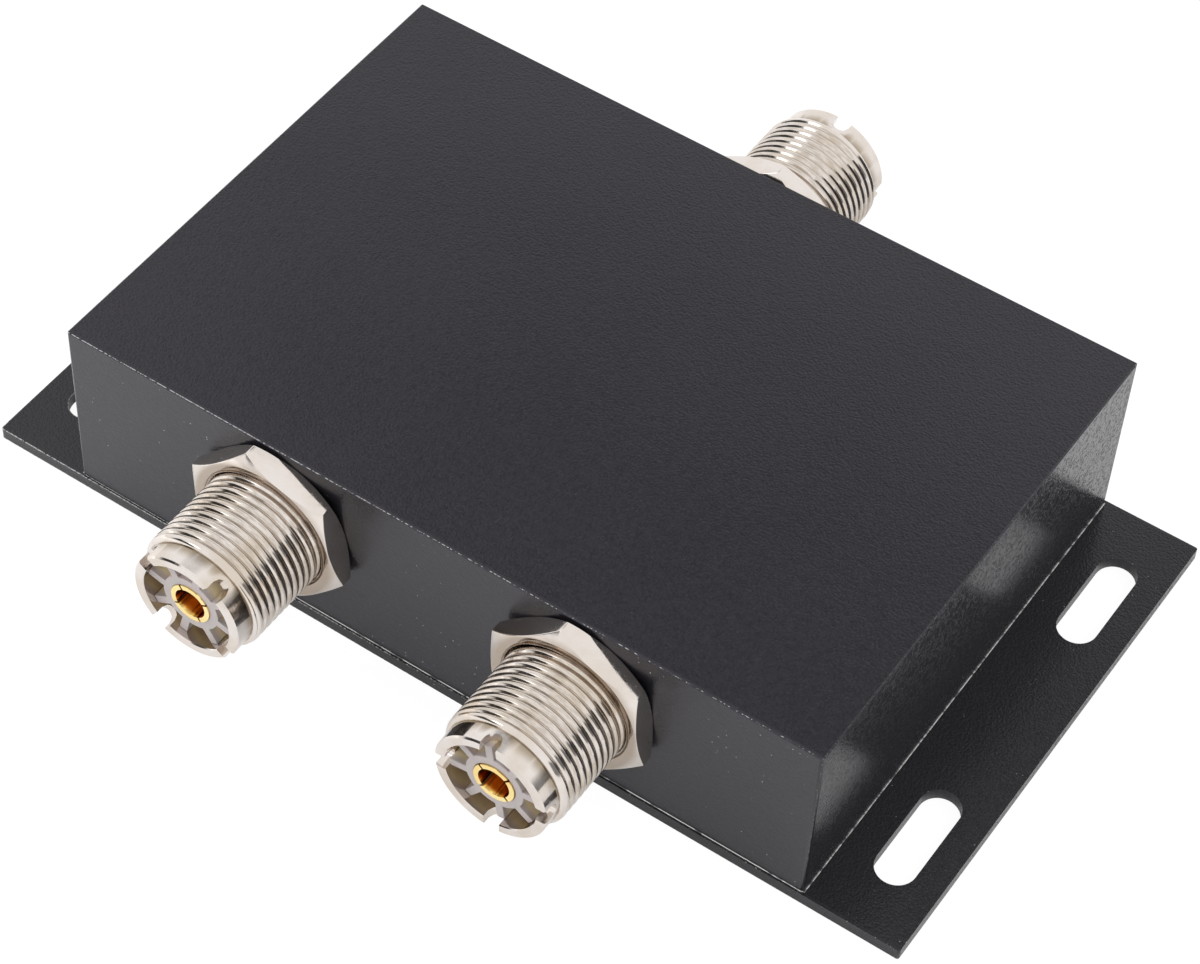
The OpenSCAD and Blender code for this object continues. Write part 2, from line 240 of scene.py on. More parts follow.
def socket_place(name):
    """Matrix from a socket's own frame, Z outward from the wall in millimetres, to the model."""
    mount = mounts[SOCKETS[name]["mount"]]
    x, y, z = mount["pos_m"]
    wall = math.copysign(WALL_Y*MM, y)
    turn = math.pi if y > 0 else 0
    return (Matrix.Translation((x, wall, z)) @ Matrix.Rotation(turn, 4, "Z")
            @ Matrix.Rotation(math.pi/2, 4, "X") @ Matrix.Scale(MM, 4))


def polar(radius, angle, z):
    return Vector((radius*math.cos(angle), radius*math.sin(angle), z))


class MeshBuilder:
    """Gathers points and faces of one closed piece."""

    def __init__(self):
        self.points = []
        self.faces = []

    def ring(self, points):
        first = len(self.points)
        self.points.extend(points)
        return list(range(first, len(self.points)))

    def face(self, corners):
        kept = []
        for corner in corners:
            if corner not in kept:
                kept.append(corner)
        if len(kept) > 2:
            self.faces.append(kept)

    def patch(self, ring_a, ring_b, k):
        """One face between two rings, from column k to the next."""
        after = (k + 1) % len(ring_a)
        self.face([ring_a[k], ring_a[after], ring_b[after], ring_b[k]])

    def bridge(self, ring_a, ring_b):
        for k in range(len(ring_a)):
            self.patch(ring_a, ring_b, k)

    def drop_unused(self):
        used = sorted({corner for face in self.faces for corner in face})
        place_of = {old: new for new, old in enumerate(used)}
        self.points = [self.points[old] for old in used]
        self.faces = [[place_of[corner] for corner in face] for face in self.faces]

    def piece(self, name, place):
        mesh = bpy.data.meshes.new(name)
        mesh.from_pydata([place @ point for point in self.points], [], self.faces)
        mesh.shade_smooth()
        mesh.set_sharp_from_angle(angle=math.radians(SHARP_ANGLE))
        piece = bpy.data.objects.new(name, mesh)
        bpy.context.scene.collection.objects.link(piece)
        return piece


def shell_columns(notch_turn):
    """Columns round a socket body: outer angle, inner angle, and place across a notch or None."""
    columns = []
    half = NOTCH_W/2
    outer_half = math.asin(half/NOSE_R)
    inner_half = math.asin(half/MOUTH_R)
    for quarter in range(4):
        middle = math.radians(notch_turn + 90*quarter)
        for step in range(NOTCH_STEPS + 1):
            across = half*(2*step/NOTCH_STEPS - 1)
            outer = middle + math.asin(across/NOSE_R)
            inner = middle + math.asin(across/MOUTH_R)
            columns.append((outer, inner, across))
        for step in range(1, TOOTH_STEPS):
            share = step/TOOTH_STEPS
            outer = middle + outer_half + share*(math.pi/2 - 2*outer_half)
            inner = middle + inner_half + share*(math.pi/2 - 2*inner_half)
            columns.append((outer, inner, None))
    return columns


def notch_floor(across):
    """Height of the rim's lower contour at a place across a notch, or beside the notches."""
    half = NOTCH_W/2
    level = REACH - NOTCH_DEPTH + half
    if across is None:
        return level
    return level - math.sqrt(max(half*half - across*across, 0))


def thread_radius(height, phase):
    """Radius of the thread at a height, where phase runs from crest to crest."""
    away_from_crest = 2*min(phase, 1 - phase)
    drop = CREST_DROP*min(away_from_crest/CREST_SHARE, 1)**2
    flank = (away_from_crest - CREST_SHARE)/(1 - CREST_SHARE - ROOT_SHARE)
    thread = THREAD_R - drop - (THREAD_DEPTH - CREST_DROP)*min(max(flank, 0), 1)
    along = (height - (REACH - NOSE_L))/(LEAD_IN*(THREAD_R - NOSE_R))
    ridge = NOSE_R + (THREAD_R - NOSE_R)*math.sqrt(1 - min(max(along, 0), 1)**2)
    return min(thread, ridge)


def add_thread(builder, columns, start_ring, end_ring, start, end):
    """Fills the stretch between two rings with a right-hand helical thread."""
    turns = math.ceil((end - start)/THREAD_PITCH) + 1
    row_count = turns*THREAD_ROWS
    grid = []
    first_angle = columns[0][0]
    for k, (angle, _, _) in enumerate(columns):
        lift = (angle - first_angle)/(2*math.pi) - 1
        column = []
        for row in range(row_count + THREAD_ROWS + 1):
            height = start + (row/THREAD_ROWS + lift)*THREAD_PITCH
            if height <= start:
                column.append(start_ring[k])
            elif height >= end:
                column.append(end_ring[k])
            else:
                radius = thread_radius(height, row % THREAD_ROWS/THREAD_ROWS)
                column += builder.ring([polar(radius, angle, height)])
        grid.append(column)
    for k in range(len(columns)):
        last = k == len(columns) - 1
        beside = grid[0][THREAD_ROWS:] if last else grid[k + 1]
        for row in range(row_count):
            builder.face([grid[k][row], beside[row], beside[row + 1], grid[k][row + 1]])


def add_rim(builder, contour):
    """Notched rim over rings that run from the outside over the top to the inside."""
    span = NOTCH_STEPS + TOOTH_STEPS
    count = len(contour[0])
    for k in range(count):
        if k % span < NOTCH_STEPS:
            builder.patch(contour[0], contour[-1], k)
            continue
        for ring_a, ring_b in zip(contour, contour[1:]):
            builder.patch(ring_a, ring_b, k)
    for k in range(0, count, span):
        builder.face([ring[k] for ring in reversed(contour)])
        builder.face([ring[k + NOTCH_STEPS] for ring in contour])


def add_shell(name):
    """Socket body: shoulder, stem, helical thread, chamfered nose and notched rim."""
    builder = MeshBuilder()
    columns = shell_columns(SOCKETS[name]["notch"])
    nose_start = REACH - NOSE_L + LEAD_IN*(THREAD_R - NOSE_R)
    thread_start = NUT_T - NUT_COUNTERSINK + FIT_GAP
    floors = [notch_floor(across) for _, _, across in columns]

    def outer_ring(radius, z):
        return builder.ring([polar(radius, outer, z) for outer, _, _ in columns])

    def inner_ring(radius, z):
        return builder.ring([polar(radius, inner, z) for _, inner, _ in columns])

    def shoulder_ring(z):
        points = [polar(SHOULDER_R, outer, z) for outer, _, _ in columns]
        return builder.ring([Vector((p.x, min(p.y, SHOULDER_FLAT), p.z)) for p in points])

    def notched_ring(radius, side):
        points = [polar(radius, column[side], z) for column, z in zip(columns, floors)]
        return builder.ring(points)

    back_inner = inner_ring(LIP_R, SHOULDER_BACK)
    back_outer = shoulder_ring(SHOULDER_BACK)
    shoulder_front = shoulder_ring(-WALL_T)
    stem_back = outer_ring(STEM_R, -WALL_T)
    stem_front = outer_ring(STEM_R, thread_start)
    nose_back = outer_ring(NOSE_R, nose_start)
    low_outer = notched_ring(NOSE_R, 0)
    low_inner = notched_ring(MOUTH_R, 1)
    seat_outer = inner_ring(MOUTH_R, SHOULDER_BACK + LIP_T)
    seat_inner = inner_ring(LIP_R, SHOULDER_BACK + LIP_T)
    builder.bridge(back_inner, back_outer)
    builder.bridge(back_outer, shoulder_front)
    builder.bridge(shoulder_front, stem_back)
    builder.bridge(stem_back, stem_front)
    add_thread(builder, columns, stem_front, nose_back, thread_start, nose_start)
    builder.bridge(nose_back, low_outer)
    builder.bridge(low_inner, seat_outer)
    builder.bridge(seat_outer, seat_inner)
    builder.bridge(seat_inner, back_inner)

    side = outer_ring(NOSE_R, REACH - RIM_CHAMFER)
    top_outer = outer_ring(NOSE_R - RIM_CHAMFER, REACH)
    top_inner = inner_ring(MOUTH_R + RIM_CHAMFER/2, REACH)
    mouth = inner_ring(MOUTH_R, REACH - RIM_CHAMFER/2)
    add_rim(builder, [low_outer, side, top_outer, top_inner, mouth, low_inner])
    builder.drop_unused()
    return builder.piece(name + "_shell_threaded", socket_place(name))


def hex_round_angle():
    """Angle from a nut's corner to the end of the round on it."""
    across = (NUT_AF/2 - NUT_CORNER_ROUND)*math.tan(SIXTH_TURN)
    return SIXTH_TURN - math.atan(across/(NUT_AF/2))


def hex_radius(from_corner):
    """Distance from a nut's axis to its side, at an angle from the nearest corner."""
    centre = (NUT_AF/2 - NUT_CORNER_ROUND)/math.cos(SIXTH_TURN)
    if from_corner < hex_round_angle():
        lift = centre*math.sin(from_corner)
        return centre*math.cos(from_corner) + math.sqrt(NUT_CORNER_ROUND**2 - lift**2)
    return NUT_AF/2/math.cos(SIXTH_TURN - from_corner)


def rounded(corners, radii, steps):
    """Closed profile with curves for corners, which reach at most their radius along each side."""
    points = []
    for k, corner in enumerate(corners):
        before = corners[k - 1] - corner
        after = corners[(k + 1) % len(corners)] - corner
        start = corner + before.normalized()*min(radii[k], before.length*ROUND_LIMIT)
        end = corner + after.normalized()*min(radii[k], after.length*ROUND_LIMIT)
        for step in range(steps + 1):
            share = step/steps
            points.append(start*(1 - share)**2 + corner*2*share*(1 - share) + end*share**2)
    return points


def nut_columns(nut_turn):
    """Angles round a nut, each with its angle from the nearest corner."""
    columns = []
    bend = hex_round_angle()
    near = [bend*step/NUT_ROUND_STEPS for step in range(NUT_ROUND_STEPS)]
    flat = SIXTH_TURN - bend
    forward = near + [bend + flat*step/NUT_SIDE_STEPS for step in range(NUT_SIDE_STEPS + 1)]
    for corner in range(6):
        middle = math.radians(nut_turn + 60*corner)
        columns += [(middle - from_corner, from_corner) for from_corner in reversed(forward[1:])]
        columns += [(middle + from_corner, from_corner) for from_corner in forward[:-1]]
    return columns


def add_nut(name):
    """Thin hexagon nut with two chamfered faces, countersinks and softened edges."""
    builder = MeshBuilder()
    face_r = NUT_AF/2 - NUT_FACE_INSET
    sink_r = THREAD_R + NUT_COUNTERSINK
    sink_h = sink_r - NUT_BORE_R
    corner_r = NUT_AF/math.sqrt(3)
    slope = (NUT_T - NUT_CORNER_H)/2/(corner_r - face_r)
    low_radii = [NUT_EDGE_ROUND, NUT_SINK_ROUND, NUT_EDGE_ROUND, NUT_EDGE_ROUND]
    edge_radii = low_radii + low_radii[::-1]
    profiles = []
    for angle, from_corner in nut_columns(SOCKETS[name]["nut"]):
        side_r = hex_radius(from_corner)
        lift = (side_r - face_r)*slope
        low = [(NUT_BORE_R, sink_h), (sink_r, 0), (face_r, 0), (side_r, lift)]
        high = [(radius, NUT_T - height) for radius, height in reversed(low)]
        corners = [Vector(corner) for corner in low + high]
        profile = rounded(corners, edge_radii, EDGE_STEPS)
        profiles.append([polar(point.x, angle, point.y) for point in profile])
    rings = [builder.ring(list(points)) for points in zip(*profiles)]
    for k, ring in enumerate(rings):
        builder.bridge(ring, rings[(k + 1) % len(rings)])
    return builder.piece(name + "_nut_chamfered", socket_place(name))


def add_node(tree, kind, inputs=None, **settings):
    """New shader node with its settings, and its inputs set to values or linked to sockets."""
    node = tree.nodes.new(kind)
    for key, value in settings.items():
        setattr(node, key, value)
    for key, value in (inputs or {}).items():
        if isinstance(value, bpy.types.NodeSocket):
            tree.links.new(value, node.inputs[key])
        else:
            node.inputs[key].default_value = value
    return node


def new_material(name, **constants):
    """Material whose shader has the given constants. Returns it with its tree and its shader."""
    material = bpy.data.materials.new(name)
    material.use_nodes = True
    tree = material.node_tree
    shader = tree.nodes["Principled BSDF"]
    for key, value in constants.items():
        shader.inputs[key.replace("_", " ")].default_value = value
    return material, tree, shader


def finish_material(tree, shader, colour, roughness, normal):
    tree.links.new(colour, shader.inputs["Base Color"])
    tree.links.new(roughness, shader.inputs["Roughness"])
    tree.links.new(normal, shader.inputs["Normal"])


def math_node(tree, operation, *values):
    return add_node(tree, "ShaderNodeMath", dict(enumerate(values)), operation=operation).outputs[0]


def chain(tree, operation, values):
    """One operation on all values, from the first to the last."""
    result = values[0]
    for value in values[1:]:
        result = math_node(tree, operation, result, value)
    return result


def product(tree, *factors):
    return chain(tree, "MULTIPLY", factors)


def total(tree, *terms):
    return chain(tree, "ADD", terms)


def size_of(tree, value):
    return math_node(tree, "ABSOLUTE", value)


def away(tree, value, middle):
    """How far a value lies from a middle, on either side."""
    return size_of(tree, math_node(tree, "SUBTRACT", value, middle))


def hypotenuse(tree, side_a, side_b):
    squares = total(tree, product(tree, side_a, side_a), product(tree, side_b, side_b))
    return math_node(tree, "SQRT", squares)


def place_socket(tree):
    return add_node(tree, "ShaderNodeTexCoord").outputs["Object"]


def place_mm(tree):
    """X, Y and Z of the shaded place, in millimetres."""
    parts = add_node(tree, "ShaderNodeSeparateXYZ", {0: place_socket(tree)})
    return [product(tree, part, 1/MM) for part in parts.outputs]


def stretched(tree, share):
    """Shaded place with only a share of X and Z, so that patterns on it run round the sockets."""
    inputs = {"Vector": place_socket(tree), "Scale": (share, 1.0, share)}
    return add_node(tree, "ShaderNodeMapping", inputs).outputs[0]


def noise(tree, size_mm, detail=2.0, roughness=0.5, vector=None):
    """Noise whose features are about size_mm across."""
    inputs = {"Vector": vector or place_socket(tree), "Scale": 1/(size_mm*MM), "Detail": detail,
              "Roughness": roughness}
    return add_node(tree, "ShaderNodeTexNoise", inputs).outputs["Fac"]


def spread(tree, value, span, levels=(0.0, 1.0)):
    """Smooth step from the first level to the second, while a value crosses a span."""
    inputs = {"Value": value, "From Min": span[0], "From Max": span[1],
              "To Min": levels[0], "To Max": levels[1]}
    node = add_node(tree, "ShaderNodeMapRange", inputs, interpolation_type="SMOOTHSTEP")
    return node.outputs["Result"]


def mix_colour(tree, share, colour_a, colour_b):
    """Blend of two colours, each of them a socket or plain shares of red, green and blue."""
    inputs = {MIX_SHARE: share}
    for key, colour in ((MIX_FIRST, colour_a), (MIX_SECOND, colour_b)):
        inputs[key] = colour if isinstance(colour, bpy.types.NodeSocket) else (*colour, 1)
    return add_node(tree, "ShaderNodeMix", inputs, data_type="RGBA").outputs[MIX_RESULT]


def bump(tree, height, strength, distance_mm, normal=None):
    inputs = {"Height": height, "Strength": strength, "Distance": distance_mm*MM}
    if normal is not None:
        inputs["Normal"] = normal
    return add_node(tree, "ShaderNodeBump", inputs).outputs["Normal"]


def face_gaps(tree, lo, hi):
    """Distances in millimetres to the nearest face of a box along X, Y and Z, and the place itself."""
    along = place_mm(tree)
    gaps = []
    for axis in range(3):
        from_low = math_node(tree, "SUBTRACT", along[axis], lo[axis])
        to_high = math_node(tree, "SUBTRACT", hi[axis], along[axis])
        gaps.append(math_node(tree, "MINIMUM", from_low, to_high))
    return gaps, along


def edge_distance(tree, gaps):
    """Distance in millimetres from the nearest edge of a box, for a place on its surface."""
    smaller = math_node(tree, "MINIMUM", gaps[0], gaps[1])
    larger = math_node(tree, "MAXIMUM", gaps[0], gaps[1])
    return math_node(tree, "MAXIMUM", smaller, math_node(tree, "MINIMUM", larger, gaps[2]))


def slot_distance(tree, along):
    """Distance in millimetres from the rim of the nearest slot, for a place on the base plate."""
    slots = mounts["right_slots"]
    radius = slots["dims"]["hole_r_mm"]
    straight = slots["dims"]["slot_length_mm"]/2 - radius
    across = away(tree, size_of(tree, along[0]), slots["pos_m"][0]/MM)
    beside = away(tree, size_of(tree, along[1]), slots["dims"]["spacing_y_mm"]/2)
    beyond = math_node(tree, "MAXIMUM", math_node(tree, "SUBTRACT", beside, straight), 0.0)
    return away(tree, hypotenuse(tree, across, beyond), radius)


def depth_from_face(tree):
    """Depth in millimetres behind the front face of an insulator."""
    out = size_of(tree, place_mm(tree)[1])
    return math_node(tree, "SUBTRACT", WALL_Y + INSULATOR_FACE, out)


def axis_distance(tree):
    """Distance in millimetres from the axis of the nearest socket."""
    along = place_mm(tree)
    distances = []
    for socket in SOCKETS.values():
        x, _, z = mounts[socket["mount"]]["pos_m"]
        across = math_node(tree, "SUBTRACT", along[0], x/MM)
        up = math_node(tree, "SUBTRACT", along[2], z/MM)
        distances.append(hypotenuse(tree, across, up))
    return chain(tree, "MINIMUM", distances)


def dust_specks(tree, gaps, top_share):
    """Small round dots in some cells of a Voronoi pattern, in patches, with fewer on the top."""
    inputs = {"Vector": place_socket(tree), "Scale": 1/(SPECK_CELL*MM)}
    cells = add_node(tree, "ShaderNodeTexVoronoi", inputs)
    radius = SPECK_R/SPECK_CELL
    dots = spread(tree, cells.outputs["Distance"], (radius, radius/2))
    pick = add_node(tree, "ShaderNodeSeparateColor", {0: cells.outputs["Color"]}).outputs[0]
    chosen = math_node(tree, "LESS_THAN", pick, SPECK_SHARE)
    patches = spread(tree, noise(tree, DUST_PATCH_SIZE), (0.42, 0.6))
    walls = spread(tree, gaps[2], (0.1, 0.4), (top_share, 1.0))
    return product(tree, dots, chosen, patches, walls)


def wear_and_glint_flecks(tree, along, levels):
    """Fine flecks, partly wear and partly a painted highlight of the light from the left, that grow
    denser from the right end to the left one.
    """
    bias = spread(tree, along[0], (30, -35), levels)
    pattern = noise(tree, FLECK_SIZE, roughness=0.7)
    return spread(tree, total(tree, pattern, bias), (0.59, 0.7))


def long_edges(tree, gaps, width):
    """Edges of a box, fainter away from its long walls."""
    edge = spread(tree, edge_distance(tree, gaps), (width, 0.7*width))
    return product(tree, edge, spread(tree, gaps[1], (3.0, 0.3), (0.2, 1.0)))


def left_upright_highlights(tree, gaps, along):
    """Painted highlight: faint pale lines down the long walls, beside their upright edges at the left
    end.
    """
    beside_edge = spread(tree, gaps[0], (0.4, 0.25))
    on_wall = spread(tree, gaps[1], (0.2, 0.1))
    return product(tree, beside_edge, on_wall, spread(tree, along[0], (0, -35), (0.0, 0.3)))


def foot_line(tree, lo, gaps, along):
    """Broken line of bare metal along the foot of the long walls, all but gone at the left end."""
    foot = spread(tree, along[2], (lo[2] + 0.24, lo[2] + 0.16))
    on_wall = spread(tree, gaps[1], (0.2, 0.1))
    pattern = noise(tree, FOOT_DASH_SIZE, roughness=0.6)
    dashes = spread(tree, pattern, (0.38, 0.46), (FAINT_DASH, 1.0))
    return product(tree, foot, on_wall, dashes, spread(tree, along[0], (-30, -12), (0.1, 1.0)))


def seam_line(tree, hi, gaps, along, seam_x):
    """Broken line of bare metal on the plate, along the ends of the housing."""
    near_seam = spread(tree, away(tree, size_of(tree, along[0]), seam_x), (0.12, 0.06))
    on_top = spread(tree, along[2], (hi[2] - 0.1, hi[2]))
    pattern = noise(tree, SEAM_DASH_SIZE, detail=3.0, roughness=0.7)
    dashes = spread(tree, pattern, (0.42, 0.54), (FAINT_DASH, 1.0))
    return product(tree, near_seam, on_top, spread(tree, gaps[1], (0.3, 0.6)), dashes)


def slot_rim_wear_and_highlights(tree, hi, along):
    """Upper rims of the plate's slots, painted pale as wear and as a painted highlight."""
    rim = spread(tree, slot_distance(tree, along), (0.14, 0.06), (0.0, 0.35))
    return product(tree, rim, spread(tree, along[2], (hi[2] - 0.15, hi[2] - 0.05)))


def end_creases(tree, lo, gaps, along):
    """Wrinkles on the end walls, fainter towards the front."""
    furrow = away(tree, noise(tree, CREASE_SIZE, detail=1.0), 0.5)
    end_wall = spread(tree, gaps[0], (0.5, 0.3))
    below_edge = spread(tree, gaps[2], (0.2, 0.5))
    backward = spread(tree, along[1], (lo[1], 0), (0.2, 1.0))
    return product(tree, spread(tree, furrow, (0.05, 0.0)), end_wall, below_edge, backward)


def coat(name, lo, hi, look, seam_x=None):
    """Black coat with a fine grain, dust, edges of wear with a painted highlight, bare lines and
    wrinkled end walls.
    """
    material, tree, shader = new_material(name, IOR=COAT_IOR, Specular_Tint=COAT_SHEEN)
    gaps, along = face_gaps(tree, lo, hi)
    grain = noise(tree, GRAIN_SIZE, detail=1.0)
    peel = noise(tree, PEEL_SIZE)
    cloud = noise(tree, CLOUD_SIZE, detail=3.0, roughness=0.55)
    tone = total(tree, product(tree, cloud, CLOUD_SHARE), product(tree, grain, 1 - CLOUD_SHARE))
    colour = mix_colour(tree, spread(tree, tone, (0.3, 0.7)), look["dark"], look["pale"])
    flecks = wear_and_glint_flecks(tree, along, look["wear_and_glint_bias"])
    edges = long_edges(tree, gaps, look["edge_width"])
    layers = [
        (dust_specks(tree, gaps, look["top_dust"]), DUST),
        # Edge lines of wear with a painted highlight of the light at the left
        (product(tree, edges, flecks), WORN_COAT_AND_HIGHLIGHT),
        # Painted highlight beside the left upright edges
        (left_upright_highlights(tree, gaps, along), WORN_COAT_AND_HIGHLIGHT),
    ]
    if seam_x:
        layers.append((seam_line(tree, hi, gaps, along, seam_x), BARE_METAL))
        # Worn slot rims, which also carry a painted highlight
        layers.append((product(tree, slot_rim_wear_and_highlights(tree, hi, along), flecks), WORN_COAT_AND_HIGHLIGHT))
    else:
        layers.append((foot_line(tree, lo, gaps, along), BARE_METAL))
    for share, layer in layers:
        colour = mix_colour(tree, share, colour, layer)
    creases = end_creases(tree, lo, gaps, along)
    gloss = spread(tree, peel, (0.3, 0.7), (COAT_ROUGHNESS - 0.01, COAT_ROUGHNESS + 0.02))
    long_walls = spread(tree, gaps[1], (0.5, 0.3), (0.0, LONG_WALL_ROUGHNESS))
    roughness = total(tree, gloss, product(tree, creases, CREASE_ROUGHNESS), long_walls)
    grained = bump(tree, grain, GRAIN_STRENGTH, look["grain_height"])
    peeled = bump(tree, peel, PEEL_STRENGTH, PEEL_HEIGHT, grained)
    creased = bump(tree, creases, CREASE_STRENGTH, CREASE_HEIGHT, peeled)
    finish_material(tree, shader, colour, roughness, creased)
    return material


def thread_grime_and_shade(tree):
    """Grime streaks round the thread, and painted shade in the bottoms of its grooves."""
    nose_depth = REACH - NOSE_L - INSULATOR_FACE
    threaded = spread(tree, depth_from_face(tree), (-nose_depth - 0.2, -nose_depth + 0.4))
    pattern = noise(tree, STREAK_SIZE, roughness=0.6, vector=stretched(tree, STREAK_STRETCH))
    streaks = product(tree, threaded, spread(tree, pattern, (0.35, 0.65), (0.05, 0.5)))
    pointiness = add_node(tree, "ShaderNodeNewGeometry").outputs["Pointiness"]
    return streaks, spread(tree, pointiness, (0.495, 0.445))


def nut_face_reflection(tree):
    """Painted reflection of the thread: a darker ring on the nuts' flat faces near the thread."""
    normal = add_node(tree, "ShaderNodeNewGeometry").outputs["Normal"]
    out = add_node(tree, "ShaderNodeSeparateXYZ", {0: normal}).outputs[1]
    flat = spread(tree, size_of(tree, out), (0.75, 0.85))
    return product(tree, flat, spread(tree, axis_distance(tree), (10.2, 9.0), (0.0, 0.75)))


def plated(name, bright, warm, roughness, ring_strength, depth_shade=None, grime_and_shade=None, face_reflection=None):
    """Bright plate with a warm tint in places, faint rings from turning, and where asked painted shade
    in the depth, grime with painted shade in thread grooves, or a painted reflection on nut faces.
    """
    material, tree, shader = new_material(name, Metallic=1.0)
    tint = spread(tree, noise(tree, TINT_SIZE, detail=3.0, roughness=0.55), (0.35, 0.7))
    colour = mix_colour(tree, tint, bright, warm)
    if depth_shade:
        # Painted shade: the gold turns darker and deeper behind the insulator's face
        colour = mix_colour(tree, spread(tree, depth_from_face(tree), (-0.12, 0.5)), colour, depth_shade)
    if grime_and_shade:
        # Grime streaks, and painted shade at the bottoms of the thread's grooves
        for share in thread_grime_and_shade(tree):
            colour = mix_colour(tree, share, colour, grime_and_shade)
    if face_reflection:
        # Painted reflection of the thread on the nuts' flat faces
        colour = mix_colour(tree, nut_face_reflection(tree), colour, face_reflection)
    marks = noise(tree, MARK_SIZE, detail=4.0, roughness=0.65)
    gloss = spread(tree, marks, (0.35, 0.75), (roughness - 0.04, roughness + 0.08))
    rings = noise(tree, RING_SIZE, roughness=0.6, vector=stretched(tree, RING_STRETCH))
    finish_material(tree, shader, colour, gloss, bump(tree, rings, ring_strength, RING_HEIGHT))
    return material


def insulator_plastic():
    """Pale milky plastic, painted browner and brighter in the depth of its pockets as a painted glow of
    light through it.
    """
    material, tree, shader = new_material(
        "insulator_milky", IOR=PLASTIC_IOR, Subsurface_Weight=PLASTIC_GLOW,
        Subsurface_Scale=PLASTIC_GLOW_REACH*MM)
    cloud = noise(tree, PLASTIC_CLOUD_SIZE, detail=3.0)
    pale = mix_colour(tree, cloud, PLASTIC_GREY, PLASTIC_PALE)
    # Painted glow: surfaces deeper in the pockets are painted browner and brighter
    shade = spread(tree, depth_from_face(tree), (0.15, 1.2))
    colour = mix_colour(tree, shade, pale, PLASTIC_PAINTED_GLOW)
    gloss = spread(tree, cloud, (0.3, 0.7), (0.28, 0.42))
    grain = noise(tree, PLASTIC_GRAIN_SIZE)
    finish_material(tree, shader, colour, gloss, bump(tree, grain, FINISH_STRENGTH, FINISH_HEIGHT))
    return material


def speckled(name, colour_a, colour_b, grain_mm, roughness, metallic):
    """Plain finish with small changes of colour, gloss and height."""
    material, tree, shader = new_material(name, Metallic=metallic)
    grain = noise(tree, grain_mm, detail=3.0, roughness=0.6)
    colour = mix_colour(tree, grain, colour_a, colour_b)
    gloss = spread(tree, grain, (0.3, 0.7), (roughness - 0.05, roughness + 0.08))
    finish_material(tree, shader, colour, gloss, bump(tree, grain, FINISH_STRENGTH, FINISH_HEIGHT))
    return material


def soften(node, width_mm):
    """Small rounds on a CAD node's sharp edges."""
    weld = node.modifiers.new("join_faces", "WELD")
    weld.merge_threshold = WELD_GAP*MM
    bevel = node.modifiers.new("edge_rounds", "BEVEL")
    bevel.width = width_mm*MM
    bevel.segments = ROUND_SEGMENTS
    bevel.limit_method = "ANGLE"
    bevel.angle_limit = math.radians(SHARP_ANGLE)
    bevel.harden_normals = True


def paint(node, material):
    frame["nodes"][node].data.materials[0] = material


def build_sockets():
    """Threaded bodies and chamfered nuts in place of the plain ones, and the sockets' finishes."""
    nickel = plated("nickel_turned", NICKEL, SHELL_WARM, NICKEL_ROUGHNESS, RING_STRENGTH,
                    grime_and_shade=SHELL_GRIME_AND_SHADE)
    nut_nickel = plated("nickel_nut", NICKEL, NUT_WARM, NICKEL_ROUGHNESS, NUT_RING_STRENGTH,
                        face_reflection=NUT_FACE_PAINTED_REFLECTION)
    gold = plated("gold_contact", GOLD, GOLD_WARM, GOLD_ROUGHNESS, RING_STRENGTH, depth_shade=GOLD_PAINTED_SHADE)
    plastic = insulator_plastic()
    for name in SOCKETS:
        shell = add_shell(name)
        shell.data.materials.append(nickel)
        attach(shell, "root")
        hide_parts(name + "_shell")
        nut = add_nut(name)
        nut.data.materials.append(nut_nickel)
        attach(nut, "root")
        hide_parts(name + "_nut")
        paint(name + "_insulator", plastic)
        soften(frame["nodes"][name + "_insulator"], INSULATOR_ROUND)
        paint(name + "_contact", gold)
        soften(frame["nodes"][name + "_contact"], CONTACT_ROUND)


def build_case():
    """Coats of the housing and its plate, and the finishes of screws, board and what it carries."""
    paint("housing", coat("housing_coat_grain", housing_lo, housing_hi, HOUSING_COAT))
    soften(frame["nodes"]["housing"], HOUSING_ROUND)
    paint("base_plate", coat("plate_coat_grain", plate_lo, plate_hi, PLATE_COAT, housing_hi.x))
    soften(frame["nodes"]["base_plate"], PLATE_ROUND)
    steel = speckled("screw_steel_zinc", (0.5, 0.5, 0.52), (0.64, 0.64, 0.63),
                     grain_mm=0.7, roughness=0.3, metallic=1.0)
    paint("cover_screws", steel)
    paint("board_screws", steel)
    copper = speckled("copper_foil", (0.8, 0.42, 0.24), (0.92, 0.55, 0.34),
                      grain_mm=1.2, roughness=0.3, metallic=1.0)
    paint("signal_tracks", copper)
    paint("ground_plane", copper)
    mask = speckled("laminate_mask", (0.03, 0.13, 0.05), (0.05, 0.2, 0.08),
                    grain_mm=0.9, roughness=0.35, metallic=0.0)
    paint("circuit_board", mask)
    glaze = speckled("resistor_glaze", (0.012, 0.012, 0.014), (0.03, 0.03, 0.034),
                     grain_mm=0.5, roughness=0.3, metallic=0.0)
    paint("isolation_resistor", glaze)
    tin = speckled("solder_tin", (0.6, 0.6, 0.61), (0.72, 0.72, 0.73),
                   grain_mm=0.4, roughness=0.25, metallic=1.0)
    paint("solder_joints", tin)


